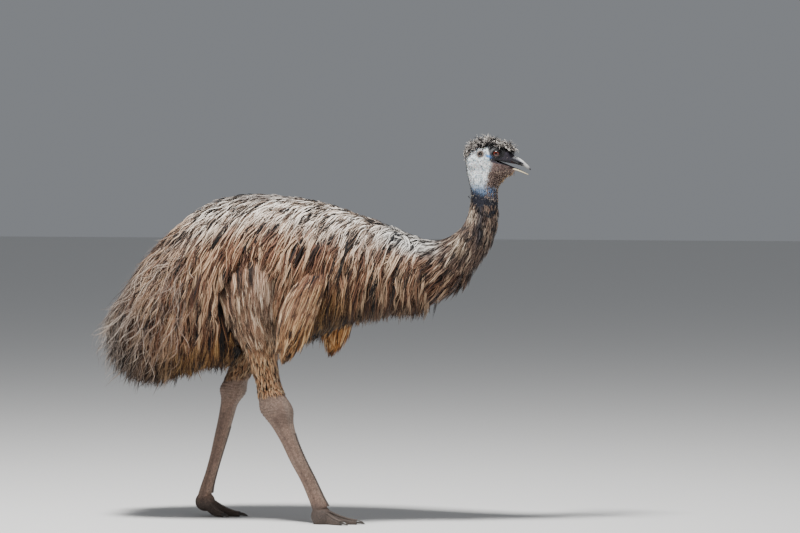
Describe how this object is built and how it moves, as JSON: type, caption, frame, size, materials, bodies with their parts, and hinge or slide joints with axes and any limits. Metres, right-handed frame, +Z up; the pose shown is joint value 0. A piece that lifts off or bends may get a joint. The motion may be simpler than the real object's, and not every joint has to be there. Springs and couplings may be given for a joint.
{
  "type": "standing emu model",
  "caption": "Life-size emu in mid-stride, with a shaggy drooping coat, short wings, bare scaly legs and a slightly open bill.",
  "frame": {"origin": "middle of the model's box at the level of the soles", "axes": "+X is the way the emu walks, +Y is its left side, +Z is up"},
  "size_m": [1.3754, 0.5187, 1.2044],
  "materials": {
    "coat_feathers": "matt, shaggy feathers",
    "neck_feathers": "matt, short hairy feathers",
    "bare_skin": "matt bare skin with sparse bristles",
    "bill_horn": "satin horn",
    "eye": "wet, glossy",
    "leg_scales": "dull scaly skin",
    "claw_horn": "worn dark horn"
  },
  "bodies": {
    "root": {"torso": "coat_feathers", "tail": "coat_feathers", "wing_right": "coat_feathers", "wing_left": "coat_feathers", "leg_right": "coat_feathers", "leg_left": "coat_feathers", "neck_base": "neck_feathers", "neck_middle": "neck_feathers", "head": "neck_feathers", "neck_upper": "bare_skin", "beak_upper": "bill_horn", "beak_lower": "bill_horn", "eye_right": "eye", "eye_left": "eye", "tarsus_right": "leg_scales", "tarsus_left": "leg_scales", "foot_right": "leg_scales", "foot_left": "leg_scales", "claw_right_inner": "claw_horn", "claw_right_middle": "claw_horn", "claw_right_outer": "claw_horn", "claw_left_inner": "claw_horn", "claw_left_middle": "claw_horn", "claw_left_outer": "claw_horn"}
  },
  "joints": []
}
